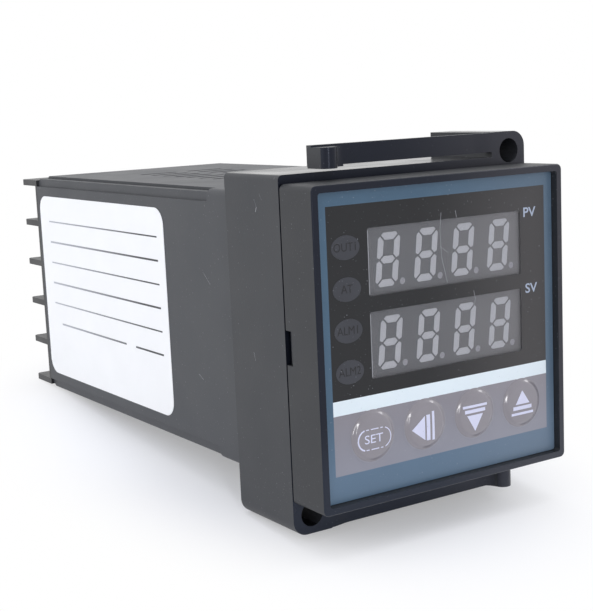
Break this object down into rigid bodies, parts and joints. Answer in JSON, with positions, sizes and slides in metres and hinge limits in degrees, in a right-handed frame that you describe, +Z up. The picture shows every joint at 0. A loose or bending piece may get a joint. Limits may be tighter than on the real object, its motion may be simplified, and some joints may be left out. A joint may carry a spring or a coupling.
{
  "type": "panel temperature controller",
  "caption": "Square panel-mount digital temperature controller with a dual digit display, soft keys, rear screw terminals and a slide-on spring mounting bracket.",
  "frame": {"origin": "middle of the panel cut-out, in the plane of the panel's front face", "axes": "+X to the right seen from the front, +Y rearwards through the panel, +Z up"},
  "size_m": [0.048, 0.1125, 0.0586],
  "materials": {
    "case_plastic": "charcoal ABS, fine satin texture",
    "terminal_plastic": "black moulded phenolic",
    "terminal_brass": "stamped brass",
    "plated_steel": "nickel plated steel",
    "label_paper": "white self-adhesive label",
    "overlay_film": "printed polycarbonate film, satin",
    "window_film": "clear tinted polycarbonate film",
    "display_face": "grey display face",
    "segment_resin": "milky resin",
    "led_resin": "tinted resin",
    "board_laminate": "green solder resist on glass-fibre laminate",
    "header_plastic": "black nylon",
    "key_film": "embossed gloss film",
    "plunger_plastic": "moulded nylon",
    "ferrite": "sintered ferrite",
    "winding_tape": "polyester tape",
    "capacitor_sleeve": "shrink sleeve",
    "varistor_coat": "dipped epoxy",
    "resistor_coat": "lacquered",
    "chip_epoxy": "moulding compound",
    "relay_case": "moulded polyester",
    "crystal_can": "drawn can"
  },
  "bodies": {
    "case": {"outer_case": "case_plastic", "rear_terminal_block": "terminal_plastic", "terminal_contacts": "terminal_brass", "terminal_clamps": "plated_steel", "terminal_screws": "plated_steel", "rating_label": "label_paper"},
    "chassis": {"front_bezel": "case_plastic", "front_overlay": "overlay_film", "upper_display_window": "window_film", "lower_display_window": "window_film", "upper_display": "display_face", "lower_display": "display_face", "upper_digit_segments": "segment_resin", "lower_digit_segments": "segment_resin", "indicator_leds": "led_resin", "display_board": "board_laminate", "logic_board": "board_laminate", "power_board": "board_laminate", "board_headers": "header_plastic", "key_switches": "header_plastic", "transformer_core": "ferrite", "transformer_winding": "winding_tape", "filter_capacitor": "capacitor_sleeve", "output_capacitors": "capacitor_sleeve", "surge_varistor": "varistor_coat", "fuse_resistor": "resistor_coat", "bridge_rectifier": "chip_epoxy", "switching_regulator": "chip_epoxy", "output_relay": "relay_case", "alarm_relay": "relay_case", "processor_chip": "chip_epoxy", "clock_crystal": "crystal_can", "sensor_amplifier": "chip_epoxy", "signal_couplers": "chip_epoxy"},
    "bracket": {"bracket_frame": "case_plastic"},
    "upper_arm": {"upper_spring_arm": "case_plastic"},
    "lower_arm": {"lower_spring_arm": "case_plastic"},
    "set_button": {"set_key": "key_film", "set_key_plunger": "plunger_plastic"},
    "shift_button": {"shift_key": "key_film", "shift_key_plunger": "plunger_plastic"},
    "down_button": {"down_key": "key_film", "down_key_plunger": "plunger_plastic"},
    "up_button": {"up_key": "key_film", "up_key_plunger": "plunger_plastic"}
  },
  "joints": [
    {"name": "chassis_slide", "type": "slide", "parent": "case", "child": "chassis", "axis": [0, -1, 0], "range_m": [0, 0.1]},
    {"name": "bracket_slide", "type": "slide", "parent": "case", "child": "bracket", "axis": [0, 1, 0], "range_m": [0, 0.08]},
    {"name": "upper_arm_flex", "type": "hinge", "parent": "bracket", "child": "upper_arm", "pos_m": [0.0168, 0.0014, 0.02765], "axis": [0, 0, -1], "range_deg": [0, 5], "stiffness_Nm_per_rad": 2},
    {"name": "lower_arm_flex", "type": "hinge", "parent": "bracket", "child": "lower_arm", "pos_m": [-0.0168, 0.0014, -0.02765], "axis": [0, 0, 1], "range_deg": [0, 5], "stiffness_Nm_per_rad": 2},
    {"name": "set_key_press", "type": "slide", "parent": "chassis", "child": "set_button", "axis": [0, 1, 0], "range_m": [0, 0.0003], "stiffness_N_per_m": 5000},
    {"name": "shift_key_press", "type": "slide", "parent": "chassis", "child": "shift_button", "axis": [0, 1, 0], "range_m": [0, 0.0003], "stiffness_N_per_m": 5000},
    {"name": "down_key_press", "type": "slide", "parent": "chassis", "child": "down_button", "axis": [0, 1, 0], "range_m": [0, 0.0003], "stiffness_N_per_m": 5000},
    {"name": "up_key_press", "type": "slide", "parent": "chassis", "child": "up_button", "axis": [0, 1, 0], "range_m": [0, 0.0003], "stiffness_N_per_m": 5000}
  ]
}
